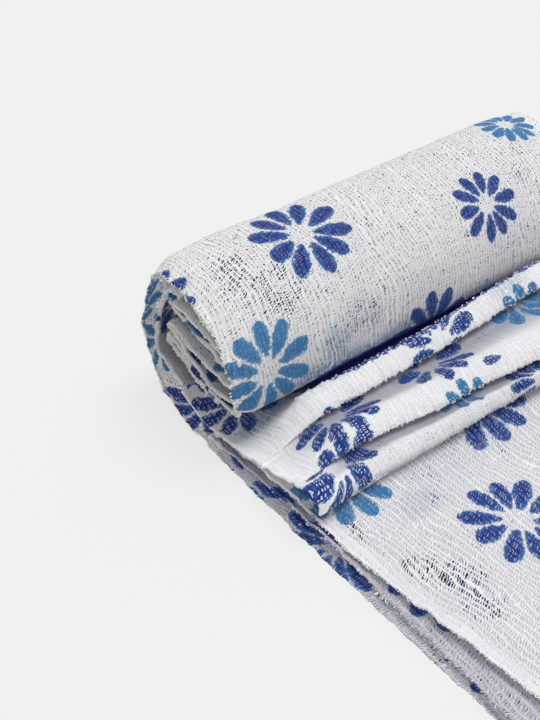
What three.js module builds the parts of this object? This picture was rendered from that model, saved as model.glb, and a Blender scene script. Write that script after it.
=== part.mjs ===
// Exfoliating towel: one knitted sheet, folded in flat layers at the front and
// rolled up at the back, lying on a table. Millimetres, +Z up.
//
// X runs along the roll, which is the width of the cloth. Y runs from the front
// of the flat layers (-Y) to the back of the roll (+Y). The cloth is drawn as one
// back-and-forth section in Y and Z, which is then swept along X with the
// unevenness of the real folds.

import * as THREE from 'three';

// Driving dimensions
const CLOTH_WIDTH = 280;
const CLOTH_THICKNESS = 1.4;
const FRONT_Y = -284;
const TABLE_LAYER_Z = CLOTH_THICKNESS / 2;
const MIDDLE_LAYER_Z = 5.2;
const TOP_LAYER_Z = 10.6;
const ROLL_HEIGHT = 100;

// How near the table the bottom layer has to pass to settle flat on it
const SETTLE = 0.5;

// Spacing of the section's points along the cloth, in the flat and in the roll
const FLAT_STEP = 16;
const ROLL_STEP = 6.6;
const BEND_STEP_DEGREES = 24;

// Soft waves of the flat layers
const WAVE = { height: 0.8, lengthY: 74, lengthX: 165 };

// The uneven top of the roll: how much higher it stands at places along X. The
// rise fades out downwards and is gone at RISE_FROM_Z.
const RISE_FROM_Z = 30;
const TOP_RISES = [
  { x: -140, rise: -0.6 },
  { x: -98, rise: 3 },
  { x: -54, rise: 1.8 },
  { x: 26, rise: 3.5 },
  { x: 103, rise: 4.5 },
  { x: 140, rise: 1.2 },
];

// Stations along X, as shares of the width from the left edge to the right edge
const COLUMNS = [0, 0.03, 0.085, 0.17, 0.3, 0.46, 0.63, 0.8, 0.94, 1];

// Every bend of the cloth, in order from the free end of the top layer to the
// back of the roll: an elliptical turn about (y, z), from one angle to another,
// counted from +Y towards +Z, or a plain point where across and up are 0. left
// and right say how far the cloth's two edges stand in from the widest layer,
// and droop how far the left margin hangs. edge gives another z and up at the
// left edge, for the layers that lie flatter there.
const BENDS = [
  { bend: 'top layer, free end', y: FRONT_Y, z: TOP_LAYER_Z, across: 0, up: 0, from: 90, to: 90,
    left: 17, right: 5, droop: 2 },
  { bend: 'top layer, mid length', y: -205, z: TOP_LAYER_Z, across: 0, up: 0, from: 90, to: 90,
    left: 10, right: 5, droop: 2.4 },
  { bend: 'top layer, near the pleats', y: -146, z: TOP_LAYER_Z, across: 0, up: 0, from: 90, to: 90,
    left: 5, right: 4, droop: 1.5, edge: { z: 10, up: 0 } },
  { bend: 'top layer, under the pleats', y: -104, z: 15.5, across: 0, up: 0, from: 90, to: 90,
    left: 4, right: 4, droop: 0.5, edge: { z: 14, up: 0 } },
  { bend: 'back fold of the top and middle layers', y: -47, z: 11, across: 5, up: 5.5, from: 90, to: -90,
    left: 4, right: 4, droop: 0, edge: { z: 5.8, up: 2.7 } },
  { bend: 'middle layer, under the pleats', y: -112, z: 6.5, across: 0, up: 0, from: 90, to: 90,
    left: 2.5, right: 3, droop: 0, edge: { z: 8, up: 0 } },
  { bend: 'middle layer, mid length', y: -205, z: MIDDLE_LAYER_Z, across: 0, up: 0, from: 90, to: 90,
    left: 2.5, right: 3, droop: 1.5 },
  { bend: 'front fold of the middle and bottom layers', y: FRONT_Y, z: 2.95, across: 3.2, up: 2.25,
    from: 90, to: 270, left: 1.5, right: 2, droop: 0 },
  { bend: 'bottom layer, mid length', y: -170, z: TABLE_LAYER_Z, across: 0, up: 0, from: 90, to: 90,
    left: 0, right: 0, droop: 0 },
  { bend: 'bottom layer rises behind the roll', y: -52, z: 40, across: 72, up: 39.3, from: -90, to: -32,
    left: 0, right: 0, droop: 0 },
  { bend: 'back of the roll', y: 5, z: 47, across: 16.5, up: 18, from: -38, to: 25,
    left: 0, right: 0, droop: 0 },
  { bend: 'top of the roll', y: -8, z: 87.6, across: 15, up: 13.5, from: 35, to: 92,
    left: 0, right: 0, droop: 0 },
  { bend: 'face of the roll', y: -17, z: 50, across: 56, up: 50.8, from: 102, to: 178,
    left: 0.5, right: 0, droop: 0 },
  { bend: 'foot of the roll', y: -61.5, z: 45, across: 11.5, up: 11.8, from: 192, to: 270,
    left: 2, right: 1, droop: 0 },
  { bend: 'underside of the roll', y: -42, z: 34.6, across: 0, up: 0, from: 270, to: 270,
    left: 2.5, right: 2, droop: 0 },
  { bend: 'inner fold at the back', y: -7.5, z: 52.2, across: 4.2, up: 4.4, from: -60, to: 115,
    left: 3, right: 3, droop: 0 },
  { bend: 'lining of the foot', y: -43, z: 37.9, across: 0, up: 0, from: 270, to: 270,
    left: 3, right: 3, droop: 0 },
  { bend: 'inner fold at the foot', y: -62.5, z: 38.2, across: 2.6, up: 1.75, from: 270, to: 90,
    left: 3, right: 3, droop: 0 },
  { bend: 'floor of the pocket', y: -42, z: 42.2, across: 0, up: 0, from: 270, to: 270,
    left: 3, right: 3, droop: 0 },
  { bend: 'fold behind the pocket', y: -9.5, z: 62.4, across: 3.4, up: 2.2, from: -70, to: 110,
    left: 3, right: 3, droop: 0 },
  { bend: 'lower lap of the core', y: -37, z: 57.2, across: 0, up: 0, from: 270, to: 270,
    left: 3, right: 3, droop: 0 },
  { bend: 'lower fold of the core', y: -57.5, z: 57.2, across: 7.5, up: 4.4, from: 258, to: 80,
    left: 3, right: 3, droop: 0 },
  { bend: 'middle lap of the core', y: -36, z: 68.6, across: 0, up: 0, from: 270, to: 270,
    left: 3.5, right: 3, droop: 0 },
  { bend: 'core fold at the back', y: -9, z: 79, across: 3.4, up: 2.3, from: -65, to: 100,
    left: 3.5, right: 3, droop: 0 },
  { bend: 'upper lap of the core', y: -34, z: 77.6, across: 0, up: 0, from: 270, to: 270,
    left: 3.5, right: 3, droop: 0 },
  { bend: 'upper fold of the core', y: -59.5, z: 68.8, across: 4.8, up: 2.9, from: 245, to: 75,
    left: 3, right: 3, droop: 0 },
  { bend: 'second layer over the top', y: -13, z: 77.6, across: 15.5, up: 15.2, from: 118, to: 28,
    left: 3, right: 2, droop: 0 },
  { bend: 'second layer behind the roll', y: -2, z: 43, across: 18.4, up: 19, from: 12, to: -68,
    left: 4, right: 2, droop: 0 },
];

// The pleats that the top layer makes in front of the roll, each row one crease
// or crest. The columns give its (y, z) at four stations along X: at the left
// edge, where the pleats die away, near it, in the middle, and far right.
const PLEAT_STATIONS = { edge: -137, near: -96, middle: -30, far: 75 };
const PLEATS = [
  { crease: 'under the roll, back', edge: [-14, 18.5], near: [-17, 25], middle: [-17, 25.5], far: [-17, 25.5] },
  { crease: 'under the roll', edge: [-36, 12.4], near: [-38, 25], middle: [-38, 26], far: [-38, 26] },
  { crease: 'foot of the roll', edge: [-56, 12.4], near: [-58, 26], middle: [-59, 28], far: [-59, 28] },
  { crease: 'rise of the first', edge: [-66, 13.6], near: [-68, 30], middle: [-72, 33], far: [-74.5, 36.5] },
  { crease: 'first crest', edge: [-76, 15.4], near: [-76, 37.5], middle: [-79.5, 41.8], far: [-79, 49] },
  { crease: 'first face', edge: [-83.5, 17], near: [-85, 36], middle: [-87.5, 38.8], far: [-88, 46.5] },
  { crease: 'first lip', edge: [-87.5, 17.9], near: [-89.5, 31.5], middle: [-91.5, 34], far: [-92, 42] },
  { crease: 'under the first lip', edge: [-90, 18.5], near: [-82, 28.5], middle: [-83.5, 31], far: [-84, 38] },
  { crease: 'first valley', edge: [-92.5, 19], near: [-91, 26.8], middle: [-93.5, 29], far: [-95.5, 36] },
  { crease: 'rise of the second', edge: [-99, 20.8], near: [-97.5, 30.2], middle: [-102, 33], far: [-107, 39.8] },
  { crease: 'second crest', edge: [-107, 23], near: [-105, 35.5], middle: [-110, 36.3], far: [-119, 41] },
  { crease: 'second face', edge: [-113, 24.8], near: [-113, 33.5], middle: [-118, 33.2], far: [-128, 38.2] },
  { crease: 'second lip', edge: [-116.5, 25.6], near: [-117.5, 29], middle: [-122.5, 28.2], far: [-133, 33] },
  { crease: 'under the second lip', edge: [-119.5, 26.2], near: [-111, 26], middle: [-115.5, 24.8], far: [-126, 30] },
  { crease: 'second valley', edge: [-122.5, 26.8], near: [-119, 24.2], middle: [-123.5, 23.4], far: [-133, 28] },
  { crease: 'third crest', edge: [-128, 27.4], near: [-126.5, 27.6], middle: [-129.5, 27], far: [-137.5, 27] },
  { crease: 'front face', edge: [-134, 24.5], near: [-133.5, 22], middle: [-134.8, 20.5], far: [-139, 21] },
  { crease: 'free end', edge: [-136, 19], near: [-132, 14.8], middle: [-132, 14.8], far: [-135.5, 15] },
];
const PLEAT_EDGES = { left: 3.5, right: 3, droop: 0 };

const radians = THREE.MathUtils.degToRad;
const smooth = (value, from, to) => THREE.MathUtils.smoothstep(value, from, to);

// One crease of the pleats at the place x along the roll
function pleatPoint(row, x) {
  const stations = Object.entries(PLEAT_STATIONS);
  let [y, z] = row[stations[0][0]];
  for (let i = 1; i < stations.length; i += 1) {
    const [name, at] = stations[i];
    const share = smooth(x, stations[i - 1][1], at);
    y += (row[name][0] - row[stations[i - 1][0]][0]) * share;
    z += (row[name][1] - row[stations[i - 1][0]][1]) * share;
  }
  return [y, z];
}

// The section's guide points at x, each with its edge insets and droop
function guidePoints(x) {
  const guides = [];
  const flatter = 1 - smooth(x, PLEAT_STATIONS.edge, PLEAT_STATIONS.near);
  for (const row of BENDS) {
    const edge = row.edge ?? row;
    const height = row.z + (edge.z - row.z) * flatter;
    const up = row.up + (edge.up - row.up) * flatter;
    const turn = row.to - row.from;
    const steps = Math.max(1, Math.round(Math.abs(turn) / BEND_STEP_DEGREES));
    const last = turn === 0 ? 0 : steps;
    for (let i = 0; i <= last; i += 1) {
      const angle = radians(row.from + (turn * i) / steps);
      guides.push({
        y: row.y + row.across * Math.cos(angle),
        z: height + up * Math.sin(angle),
        left: row.left,
        right: row.right,
        droop: row.droop,
      });
    }
  }
  for (const row of PLEATS) {
    const [y, z] = pleatPoint(row, x);
    guides.push({ y, z, ...PLEAT_EDGES });
  }
  return guides;
}

// How many points lie between each guide and the next, the same at every x
function runSteps(guides) {
  return guides.slice(1).map((guide, i) => {
    const run = Math.hypot(guide.y - guides[i].y, guide.z - guides[i].z);
    const flat = Math.max(guide.z, guides[i].z) < 2 * TOP_LAYER_Z;
    return Math.max(1, Math.round(run / (flat ? FLAT_STEP : ROLL_STEP)));
  });
}

const STEPS = runSteps(guidePoints(0));

// A smooth line through the guides, with its insets carried along
function sectionLine(x) {
  const guides = guidePoints(x);
  const places = new THREE.CatmullRomCurve3(guides.map((g) => new THREE.Vector3(0, g.y, g.z)));
  const insets = guides.map((g) => new THREE.Vector3(g.left, g.right, g.droop));
  const line = [];
  STEPS.forEach((steps, i) => {
    for (let k = 0; k < steps; k += 1) {
      const share = k / steps;
      line.push({
        place: places.getPoint((i + share) / (guides.length - 1)),
        inset: insets[i].clone().lerp(insets[i + 1], share),
      });
    }
  });
  line.push({ place: places.getPoint(1), inset: insets[insets.length - 1] });
  return line;
}

// How much higher the top of the roll stands at the place x
function topRise(x) {
  return TOP_RISES.slice(1).reduce((rise, next, i) => {
    const before = TOP_RISES[i];
    return rise + (next.rise - before.rise) * smooth(x, before.x, next.x);
  }, TOP_RISES[0].rise);
}

// Waves of the flat layers, none on the table, and the uneven top of the roll
function uneven(point) {
  const lift = smooth(point.z, MIDDLE_LAYER_Z / 2, TOP_LAYER_Z) * (1 - smooth(point.y, -150, -110));
  const phase = (2 * Math.PI * point.y) / WAVE.lengthY + (2 * Math.PI * point.x) / WAVE.lengthX;
  const rise = topRise(point.x) * smooth(point.z, RISE_FROM_Z, ROLL_HEIGHT);
  point.z += WAVE.height * lift * Math.sin(phase) + rise;
  if (point.z < TABLE_LAYER_Z + SETTLE) {
    point.z = TABLE_LAYER_Z;
  }
  return point;
}

// The middle of the cloth at one column, as points in space
function columnLine(share) {
  const nominal = CLOTH_WIDTH * (share - 0.5);
  const margin = 1 - smooth(share, 0, 0.085);
  return sectionLine(nominal).map(({ place, inset }) => {
    const x = nominal + inset.x * (1 - share) - inset.y * share;
    return uneven(new THREE.Vector3(x, place.y, place.z - inset.z * margin));
  });
}

// Half the thickness to each side of the middle, square to the section
function columnFaces(share) {
  const middle = columnLine(share);
  return middle.map((point, i) => {
    const before = middle[Math.max(0, i - 1)];
    const after = middle[Math.min(middle.length - 1, i + 1)];
    const along = new THREE.Vector2(after.y - before.y, after.z - before.z).normalize();
    const out = new THREE.Vector3(0, -along.y, along.x).multiplyScalar(CLOTH_THICKNESS / 2);
    return [point.clone().add(out), point.clone().sub(out)];
  });
}

// A closed skin over the two faces, the two edges and the two ends
function sheetGeometry() {
  const columns = COLUMNS.map(columnFaces);
  const rows = columns[0].length;
  const positions = [];
  columns.forEach((column) => column.forEach((pair) => pair.forEach((p) => positions.push(p.x, p.y, p.z))));
  const at = (column, row, side) => (column * rows + row) * 2 + side;
  const indices = [];
  const quad = (a, b, c, d) => indices.push(a, b, c, a, c, d);
  const lastColumn = columns.length - 1;
  const lastRow = rows - 1;
  for (let c = 0; c < lastColumn; c += 1) {
    for (let r = 0; r < lastRow; r += 1) {
      quad(at(c, r, 0), at(c + 1, r, 0), at(c + 1, r + 1, 0), at(c, r + 1, 0));
      quad(at(c, r, 1), at(c, r + 1, 1), at(c + 1, r + 1, 1), at(c + 1, r, 1));
    }
    quad(at(c, 0, 0), at(c, 0, 1), at(c + 1, 0, 1), at(c + 1, 0, 0));
    quad(at(c, lastRow, 0), at(c + 1, lastRow, 0), at(c + 1, lastRow, 1), at(c, lastRow, 1));
  }
  for (let r = 0; r < lastRow; r += 1) {
    quad(at(0, r, 0), at(0, r + 1, 0), at(0, r + 1, 1), at(0, r, 1));
    quad(at(lastColumn, r, 0), at(lastColumn, r, 1), at(lastColumn, r + 1, 1), at(lastColumn, r + 1, 0));
  }
  const geometry = new THREE.BufferGeometry();
  geometry.setAttribute('position', new THREE.Float32BufferAttribute(positions, 3));
  geometry.setIndex(indices);
  geometry.computeVertexNormals();
  return geometry;
}

// White knit with a blue print: the solid carries the cloth's own white
const knitMaterial = new THREE.MeshStandardMaterial({ color: 0xeceaee, roughness: 0.92, metalness: 0 });

// The origin is under the middle of the whole towel, on the table
function makeTowel() {
  const geometry = sheetGeometry();
  geometry.computeBoundingBox();
  const { min, max } = geometry.boundingBox;
  const towel = new THREE.Mesh(geometry, knitMaterial);
  towel.name = 'towel';
  towel.position.set(-(min.x + max.x) / 2, -(min.y + max.y) / 2, -min.z);
  return towel;
}

const group = new THREE.Group();
group.add(makeTowel());

export default group;
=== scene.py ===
# %% [markdown]
# An exfoliating towel is one long strip of open nylon knit, white, with blue
# flowers printed on it. This one lies in three flat layers at the front, is
# rolled up at the back, and its last stretch is pushed into pleats against
# the roll. The lesson dresses the plain solid of that shape as real cloth.

# %% The frame
import math
from collections import namedtuple

import bpy
import numpy as np
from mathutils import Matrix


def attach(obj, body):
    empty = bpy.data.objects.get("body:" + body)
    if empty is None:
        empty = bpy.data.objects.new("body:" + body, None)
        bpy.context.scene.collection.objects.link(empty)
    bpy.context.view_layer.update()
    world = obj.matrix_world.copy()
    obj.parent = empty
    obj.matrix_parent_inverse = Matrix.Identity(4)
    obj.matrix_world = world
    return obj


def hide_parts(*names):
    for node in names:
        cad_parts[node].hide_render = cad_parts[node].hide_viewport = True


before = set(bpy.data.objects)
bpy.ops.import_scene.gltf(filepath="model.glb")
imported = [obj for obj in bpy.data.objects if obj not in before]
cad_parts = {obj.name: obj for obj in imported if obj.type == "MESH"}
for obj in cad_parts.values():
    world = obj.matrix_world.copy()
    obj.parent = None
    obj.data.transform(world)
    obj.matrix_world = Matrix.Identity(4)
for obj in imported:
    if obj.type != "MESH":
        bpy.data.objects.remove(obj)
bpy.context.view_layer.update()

MM = 0.001

# %% [markdown]
# The camera comes first. The roll's long edges and the left edge of the stack
# meet the picture at slants that fix its height, its turn and its lens, so
# they are set as numbers and not by eye.

# %% Camera
CAMERA_PLACE = (-0.3850, -0.2797, 0.4193)
CAMERA_DOWN = 39.0
CAMERA_TURN = -38.1
CAMERA_LENS = 54.5

bpy.ops.object.camera_add(
    location=CAMERA_PLACE,
    rotation=(math.radians(90 - CAMERA_DOWN), 0, math.radians(CAMERA_TURN)),
)
camera = bpy.context.object
camera.name = "camera"
camera.data.lens = CAMERA_LENS
camera.data.sensor_width = 36
camera.data.sensor_fit = "AUTO"
camera.data.clip_start = 0.01
bpy.context.scene.camera = camera
print("camera at", CAMERA_PLACE, "looking", CAMERA_DOWN, "degrees down")

# %% [markdown]
# A strip of cloth that is folded back and forth has the same section all along
# its width, but for small changes. So the section is written as a table: each
# row is a plain point, or one bend, an elliptical turn about a point from a
# start to an end angle, counted from the back towards the top. Left and right
# say how far the two edges stand in, and droop how far the left margin hangs.
# Millimetres keep the table easy to read.

# %% The bends of the cloth
WIDTH = 280
THICKNESS = 1.4
FRONT_Y = -284
TABLE_Z = THICKNESS / 2
MIDDLE_Z = 5.2
TOP_Z = 10.6
ROLL_HEIGHT = 100
SETTLE = 0.5

Bend = namedtuple("Bend", "name y z left right droop across up start end", defaults=(0, 0, 0, 0, 0))
BENDS = [
    Bend("top layer, free end", FRONT_Y, TOP_Z, 17, 5, 2),
    Bend("top layer, mid length", -205, TOP_Z, 10, 5, 2.4),
    Bend("top layer, near the pleats", -146, TOP_Z, 5, 4, 1.5),
    Bend("top layer, under the pleats", -104, 15.5, 4, 4, 0.5),
    Bend("back fold of the top and middle layers", -47, 11, 4, 4, 0, 5, 5.5, 90, -90),
    Bend("middle layer, under the pleats", -112, 6.5, 2.5, 3),
    Bend("middle layer, mid length", -205, MIDDLE_Z, 2.5, 3, 1.5),
    Bend("front fold of the middle and bottom layers", FRONT_Y, 2.95, -1, 2, 0, 3.2, 2.25, 90, 270),
    Bend("bottom layer, mid length", -170, TABLE_Z, -2.5, 0),
    Bend("bottom layer rises behind the roll", -52, 40, 0, 0, 0, 72, 39.3, -90, -32),
    Bend("back of the roll", 5, 47, 0, 0, 0, 16.5, 18, -38, 25),
    Bend("top of the roll", -8, 87.6, 0, 0, 0, 15, 13.5, 35, 92),
    Bend("face of the roll", -17, 50, 0.5, 0, 0, 56, 50.8, 102, 178),
    Bend("foot of the roll", -61.5, 45, 2, 1, 0, 11.5, 11.8, 192, 270),
    Bend("underside of the roll", -42, 34.6, 2.5, 2),
    Bend("inner fold at the back", -7.5, 52.2, 3, 3, 0, 4.2, 4.4, -60, 115),
    Bend("lining of the foot", -43, 37.9, 3, 3),
    Bend("inner fold at the foot", -62.5, 38.2, 5, 3, 0, 2.6, 1.75, 270, 90),
    Bend("floor of the pocket", -42, 42.2, 3, 3),
    Bend("fold behind the pocket", -9.5, 62.4, 3, 3, 0, 3.4, 2.2, -70, 110),
    Bend("lower lap of the core", -37, 57.2, 3, 3),
    Bend("lower fold of the core", -57.5, 57.2, 5, 3, 0, 7.5, 4.4, 258, 80),
    Bend("middle lap of the core", -36, 68.6, 3.5, 3),
    Bend("core fold at the back", -9, 79, 3.5, 3, 0, 3.4, 2.3, -65, 100),
    Bend("upper lap of the core", -34, 77.6, 3.5, 3),
    Bend("upper fold of the core", -59.5, 68.8, 6, 3, 0, 4.8, 2.9, 245, 75),
    Bend("second layer over the top", -13, 77.6, 3, 2, 0, 15.5, 15.2, 118, 28),
    Bend("second layer behind the roll", -2, 43, 4, 2, 0, 18.4, 19, 12, -68),
]

# Another height and upward reach at the left edge, where layers lie flatter
FLATTER = {
    "top layer, near the pleats": (10, 0),
    "top layer, under the pleats": (14, 0),
    "back fold of the top and middle layers": (5.8, 2.7),
    "middle layer, under the pleats": (8, 0),
}
BEND_STEP_DEGREES = 24
print(len(BENDS), "bends")

# %% [markdown]
# The pleats change along the roll: at the left edge they die away into one
# flat layer, and to the right they stand up and lean over. So each crest and
# valley has its place at four stations along X. Crest says how strongly the
# stretched yarn loops stand out there, and shade how far the white is painted
# darker there, as painted shade where the cloth lies hidden from the light and
# as the greyer look of thin cloth, both from 0 to 1.

# %% The pleats in front of the roll
STATIONS = (-137, -96, -30, 75)
Pleat = namedtuple("Pleat", "name edge near middle far crest shade")
PLEATS = [
    Pleat("under the roll, back", (-14, 18.5), (-17, 25), (-17, 25.5), (-17, 25.5), 0, 1),
    Pleat("under the roll", (-36, 12.4), (-38, 25), (-38, 26), (-38, 26), 0, 1),
    Pleat("beside the roll", (-56, 12.4), (-58, 26), (-59, 28), (-59, 28), 0, 1),
    Pleat("rise of the first", (-66, 13.6), (-68, 30), (-72, 33), (-74.5, 36.5), 0.2, 0.7),
    Pleat("first crest", (-76, 15.4), (-76, 37.5), (-79.5, 41.8), (-79, 49), 1, 0),
    Pleat("first face", (-83.5, 17), (-85, 36), (-87.5, 38.8), (-88, 46.5), 0.3, 0),
    Pleat("first lip", (-87.5, 17.9), (-89.5, 31.5), (-91.5, 34), (-92, 42), 1, 0),
    Pleat("under the first lip", (-90, 18.5), (-80, 28.8), (-82, 31.5), (-82.5, 38.2), 0, 1),
    Pleat("first valley", (-92.5, 19), (-91, 26.8), (-93.5, 29), (-95.5, 36), 0, 0.75),
    Pleat("rise of the second", (-99, 20.8), (-97.5, 30.2), (-102, 33), (-107, 39.8), 0, 0.55),
    Pleat("second crest", (-107, 23), (-105, 35.5), (-110, 36.3), (-119, 41), 0.2, 0.05),
    Pleat("second face", (-113, 24.8), (-113, 33.5), (-118, 33.2), (-128, 38.2), 0.2, 0),
    Pleat("second lip", (-116.5, 25.6), (-117.5, 29), (-122.5, 28.2), (-133, 33), 1, 0.05),
    Pleat("under the second lip", (-119.5, 26.2), (-109, 26.4), (-113, 25.2), (-124, 30.4), 0, 1),
    Pleat("second valley", (-122.5, 26.8), (-119, 24.2), (-123.5, 23.4), (-133, 28), 0, 0.8),
    Pleat("third crest", (-128, 27.4), (-126.5, 27.6), (-129.5, 27), (-137.5, 27), 0.5, 0.1),
    Pleat("front face", (-134, 24.5), (-133.5, 22), (-134.8, 20.5), (-139, 21), 0.4, 0.1),
    Pleat("free end", (-136, 19), (-132, 14.8), (-132, 14.8), (-135.5, 15), 0.5, 0.4),
]
PLEAT_LEFT, PLEAT_RIGHT = 3.5, 3
print(len(PLEATS), "creases at", len(STATIONS), "stations")

# %% [markdown]
# Knitted layers never lie dead flat, and the roll's top dips and swells along
# its length. Both are small and slow, so a wave and a short table do them.

# %% Waves and the uneven top of the roll
WAVE_HEIGHT, WAVE_ALONG, WAVE_ACROSS = 0.8, 74, 165
WAVES_FADE = (-150, -110)
RISE_FROM_Z = 30
TOP_RISES = [(-140, -0.6), (-98, 3), (-54, 1.8), (26, 3.5), (103, 4.5), (140, 1.2)]


def smooth(value, low, high):
    share = np.clip((value - low) / (high - low), 0, 1)
    return share * share * (3 - 2 * share)


def top_rise(across):
    rise = TOP_RISES[0][1] + np.zeros_like(across)
    for (x0, rise0), (x1, rise1) in zip(TOP_RISES, TOP_RISES[1:]):
        rise = rise + (rise1 - rise0) * smooth(across, x0, x1)
    return rise


def unevened(x, y, z):
    lift = smooth(z, MIDDLE_Z / 2, TOP_Z) * (1 - smooth(y, *WAVES_FADE))
    phase = 2 * math.pi * (y / WAVE_ALONG + x / WAVE_ACROSS)
    rise = top_rise(x) * smooth(z, RISE_FROM_Z, ROLL_HEIGHT)
    z = z + WAVE_HEIGHT * lift * np.sin(phase) + rise
    return np.where(z < TABLE_Z + SETTLE, TABLE_Z, z)


print("the top of the roll rises by", max(rise for x, rise in TOP_RISES), "mm at most")

# %% [markdown]
# A smooth line is drawn through the guide points of the section. Centripetal
# Catmull-Rom suits cloth: it goes through every point and never overshoots
# into a loop at a tight fold.

# %% From guide points to a smooth section
Guide = namedtuple("Guide", "name left right droop crest shade")
RUN_SAMPLES = 9


def guide_section(across):
    """The guide points (columns, guides, 2) at each place across the cloth."""
    guides, places = [], []
    flatter = 1 - smooth(across, STATIONS[0], STATIONS[1])
    for row in BENDS:
        edge_z, edge_up = FLATTER.get(row.name, (row.z, row.up))
        height = row.z + (edge_z - row.z) * flatter
        up = row.up + (edge_up - row.up) * flatter
        turn = row.end - row.start
        steps = max(1, round(abs(turn) / BEND_STEP_DEGREES))
        for i in range(1 if turn == 0 else steps + 1):
            angle = math.radians(row.start + turn * i / steps)
            guides.append(Guide(row.name, row.left, row.right, row.droop, 0, 0))
            y = row.y + row.across * math.cos(angle) + 0 * across
            places.append(np.stack([y, height + up * math.sin(angle)], -1))
    for row in PLEATS:
        place = np.array(row.edge, float) + np.zeros((len(across), 2))
        stops = (row.edge, row.near, row.middle, row.far)
        for i in range(1, len(STATIONS)):
            share = smooth(across, STATIONS[i - 1], STATIONS[i])[:, None]
            place = place + (np.array(stops[i], float) - stops[i - 1]) * share
        guides.append(Guide(row.name, PLEAT_LEFT, PLEAT_RIGHT, 0, row.crest, row.shade))
        places.append(place)
    return guides, np.stack(places, 1)


def on_the_line(places, i, t):
    """The point at a share t of the way from guide i to guide i + 1."""
    p1, p2 = places[:, i], places[:, i + 1]
    p0 = places[:, i - 1] if i > 0 else 2 * p1 - p2
    p3 = places[:, i + 2] if i + 2 < places.shape[1] else 2 * p2 - p1
    gap = [np.sqrt(np.linalg.norm(b - a, axis=-1))[:, None] for a, b in ((p0, p1), (p1, p2), (p2, p3))]
    leave = ((p1 - p0) / gap[0] - (p2 - p0) / (gap[0] + gap[1]) + (p2 - p1) / gap[1]) * gap[1]
    reach = ((p2 - p1) / gap[1] - (p3 - p1) / (gap[1] + gap[2]) + (p3 - p2) / gap[2]) * gap[1]
    return (
        p1
        + leave * t
        + (3 * (p2 - p1) - 2 * leave - reach) * t**2
        + (2 * (p1 - p2) + leave + reach) * t**3
    )


GUIDES, MIDDLE_PLACES = guide_section(np.array([0.0]))
RUNS = [0.0]
for i in range(len(GUIDES) - 1):
    line = np.array([on_the_line(MIDDLE_PLACES, i, s)[0] for s in np.linspace(0, 1, RUN_SAMPLES)])
    RUNS.append(RUNS[-1] + float(np.linalg.norm(np.diff(line, axis=0), axis=1).sum()))


def guide_at(name):
    return next(i for i, g in enumerate(GUIDES) if g.name == name)


def run_at(name):
    """How far along the strip a bend or crease begins."""
    return RUNS[guide_at(name)]


print("the strip is", round(RUNS[-1]), "mm long over", len(GUIDES), "guides")

# %% [markdown]
# The cloth is cut into six stretches at hidden places, only so that each has
# enough points where it shows: the pleats need a point every 0.7 to 1 mm, while
# the middle layers need few. Each stretch is a grid of rows along the cloth
# and columns across it, and it keeps its flat place, which is where the knit
# and the print are looked up.

# %% A stretch of the cloth as a grid
CURL_RADIUS = 0.85
CURL_DEGREES = (0, 40, 80, 120, 165, 210, 255, 300)
FLAT_EDGE = WIDTH / 2 - CURL_RADIUS
DROOP_SHARE = 0.085
ROUGH_STEP, ROUGH_COLUMNS = 12, 15


def margin_columns(spacing, edge_spacing=1.2, margin=16):
    """Places across the cloth, closer together near its two edges."""
    inner = FLAT_EDGE - margin
    sides = np.linspace(inner, FLAT_EDGE, round(margin / edge_spacing) + 1)[1:]
    middle = np.linspace(-inner, inner, round(2 * inner / spacing) + 1)
    return np.concatenate([-sides[::-1], middle, sides])


def surface_normals(points):
    along = np.gradient(points, axis=0)
    across = np.gradient(points, axis=1)
    normal = np.cross(across, along)
    return normal / np.maximum(np.linalg.norm(normal, axis=2, keepdims=True), 1e-9)


def cloth_grid(first, last, step, across):
    """Rows of points from guide first to guide last, one every step mm."""
    guides, places = guide_section(across)
    rows, run, lie = [], [], []
    share_across = across / WIDTH + 0.5
    margin = 1 - smooth(share_across, 0, DROOP_SHARE)
    for i in range(first, last):
        count = max(1, round((RUNS[i + 1] - RUNS[i]) / step))
        a, b = guides[i], guides[i + 1]
        for k in range(count + (i == last - 1)):
            t = k / count
            y, z = on_the_line(places, i, t).T
            left, right, droop = (a[n] + (b[n] - a[n]) * t for n in (1, 2, 3))
            x = across + left * (1 - share_across) - right * share_across
            rows.append(np.stack([x, y, unevened(x, y, z - droop * margin)], -1))
            run.append(RUNS[i] + (RUNS[i + 1] - RUNS[i]) * t)
            soft = float(smooth(t, 0, 1))
            lie.append([a.crest + (b.crest - a.crest) * soft, a.shade + (b.shade - a.shade) * soft])
    return np.array(rows), np.array(run), np.array(lie, float)


ROUGH_ACROSS = np.linspace(-FLAT_EDGE, FLAT_EDGE, ROUGH_COLUMNS)
WHOLE = cloth_grid(0, len(GUIDES) - 1, ROUGH_STEP, ROUGH_ACROSS)[0]
SHIFT_Y = -(WHOLE[:, :, 1].min() + WHOLE[:, :, 1].max()) / 2
print("the section moves by", round(float(SHIFT_Y), 2), "mm to lie over the origin")

# %% [markdown]
# Crumples are made from smooth noise: a coarse grid of random heights, with a
# fixed seed, read between its points. The crests of the pleats get a second,
# finer relief, because there the loops of the stretched knit stand up in small
# tufts that show against the dark gap behind.

# %% Crumples and scalloped crests
NOISE_SIDE = 64
Noise = namedtuple("Noise", "size seed")
BROAD_CRUMPLE, SMALL_CRUMPLE, LONG_CRUMPLE = Noise(13, 3), Noise(5.5, 4), Noise(3.1, 7)
SCALLOP_WANDER, SCALLOP_TALL, TUFT = Noise(9, 5), Noise(5, 10), Noise(1.5, 6)
BROAD_SWAY, SMALL_SWAY, RIM_FLUFF = Noise(7, 8), Noise(2.6, 9), Noise(1.6, 12)
SCALLOP_WIDTH, SCALLOP_HEIGHT, TUFT_HEIGHT, CREST_SINK = 2.9, 0.75, 0.6, 0.3
CREST_FADE = (-128, -92)
FLUFF, FLUFF_DEGREES = 0.22, 50


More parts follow.
